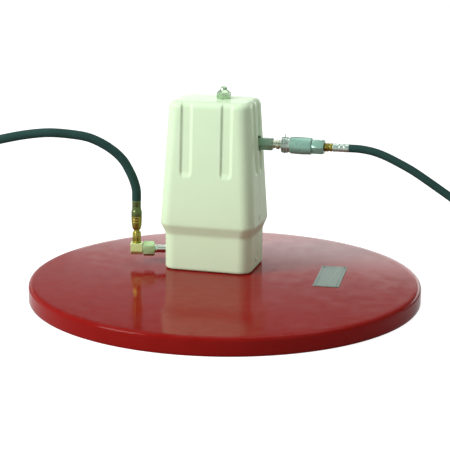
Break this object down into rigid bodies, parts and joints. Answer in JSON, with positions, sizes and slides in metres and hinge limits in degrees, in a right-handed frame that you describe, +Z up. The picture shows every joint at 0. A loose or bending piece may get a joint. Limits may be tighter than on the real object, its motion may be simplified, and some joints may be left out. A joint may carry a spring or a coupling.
{
  "type": "pneumatic grease pump",
  "caption": "Air-operated grease pump in a square moulded shroud on a round drum cover, with a side outlet elbow, a quick coupler, two hoses and a long pump tube below.",
  "frame": {"origin": "centre of the drum cover, level with the lower edge of its skirt", "axes": "+Z up along the pump, -Y towards the front of the shroud, +X along the air line"},
  "size_m": [1.1961, 0.622, 1.173],
  "materials": {
    "cover_paint": "gloss",
    "shroud_plastic": "satin",
    "seal_rubber": "matt",
    "hose_rubber": "satin",
    "plate_aluminium": "satin",
    "zinc_steel": "satin",
    "bright_steel": "polished",
    "fitting_brass": "satin",
    "cast_alloy": "cast",
    "grey_iron": "cast",
    "olive_steel": "satin",
    "adapter_steel": "satin",
    "packing_leather": "matt",
    "felt": "matt",
    "strap_plastic": "matt"
  },
  "bodies": {
    "pump": {"drum_cover": "cover_paint", "cover_seal": "seal_rubber", "name_plate": "plate_aluminium", "plate_rivets": "plate_aluminium", "flange_gasket": "seal_rubber", "flange_screws": "zinc_steel", "outlet_body": "grey_iron", "rod_packing": "packing_leather", "packing_nut": "fitting_brass", "pump_tube": "zinc_steel", "foot_valve_body": "zinc_steel", "primer_tube": "zinc_steel", "motor_base": "cast_alloy", "rod_seal": "seal_rubber", "air_cylinder": "cast_alloy", "cylinder_rings": "seal_rubber", "motor_head": "cast_alloy", "tie_bolts": "zinc_steel", "valve_body": "cast_alloy", "valve_cap": "cast_alloy", "valve_screws": "zinc_steel", "cover_stud": "zinc_steel", "cap_nut": "bright_steel", "muffler_pad": "felt", "shroud_front": "shroud_plastic", "shroud_rear": "shroud_plastic", "shroud_screws": "shroud_plastic", "outlet_nipple": "zinc_steel", "elbow": "zinc_steel", "grease_stem": "fitting_brass", "grease_ferrule": "olive_steel", "grease_hose": "hose_rubber", "grease_hose_coil": "hose_rubber", "grease_hose_tie": "strap_plastic", "grease_hose_end": "zinc_steel", "inlet_adapter": "adapter_steel", "coupler_plug": "zinc_steel", "coupler_body": "zinc_steel", "lock_balls": "bright_steel", "sleeve_spring": "zinc_steel", "air_stem": "fitting_brass", "air_ferrule": "bright_steel", "air_hose": "hose_rubber", "air_hose_coil": "hose_rubber", "air_hose_tie": "strap_plastic", "air_hose_end": "zinc_steel"},
    "plunger_set": {"air_piston": "cast_alloy", "piston_seal": "seal_rubber", "piston_nut": "zinc_steel", "piston_rod": "bright_steel", "connecting_rod": "bright_steel", "plunger": "zinc_steel", "priming_rod": "bright_steel", "priming_disc": "zinc_steel"},
    "swivel_nut": {"swivel_nut": "zinc_steel"},
    "coupler_sleeve": {"coupler_sleeve": "bright_steel", "sleeve_clip": "bright_steel"},
    "inlet_check": {"inlet_check": "fitting_brass"},
    "plunger_ball": {"plunger_ball": "bright_steel"},
    "valve_spool": {"valve_spool": "fitting_brass"}
  },
  "joints": [
    {"name": "plunger_stroke", "type": "slide", "parent": "pump", "child": "plunger_set", "axis": [0, 0, 1], "range_m": [0, 0.076]},
    {"name": "plunger_ball_lift", "type": "slide", "parent": "plunger_set", "child": "plunger_ball", "axis": [0, 0, 1], "range_m": [0, 0.005]},
    {"name": "inlet_check_lift", "type": "slide", "parent": "pump", "child": "inlet_check", "axis": [0, 0, 1], "range_m": [0, 0.006]},
    {"name": "spool_shift", "type": "slide", "parent": "pump", "child": "valve_spool", "axis": [0, 0, 1], "range_m": [0, 0.008]},
    {"name": "coupler_sleeve_slide", "type": "slide", "parent": "pump", "child": "coupler_sleeve", "axis": [1, 0, 0], "range_m": [0, 0.0035], "stiffness_N_per_m": 1000, "springref_m": -0.004},
    {"name": "swivel_nut_spin", "type": "hinge", "parent": "pump", "child": "swivel_nut", "pos_m": [-0.14091, 0.04694, 0.053], "axis": [-0.9659, -0.2588, 0], "continuous": true}
  ]
}
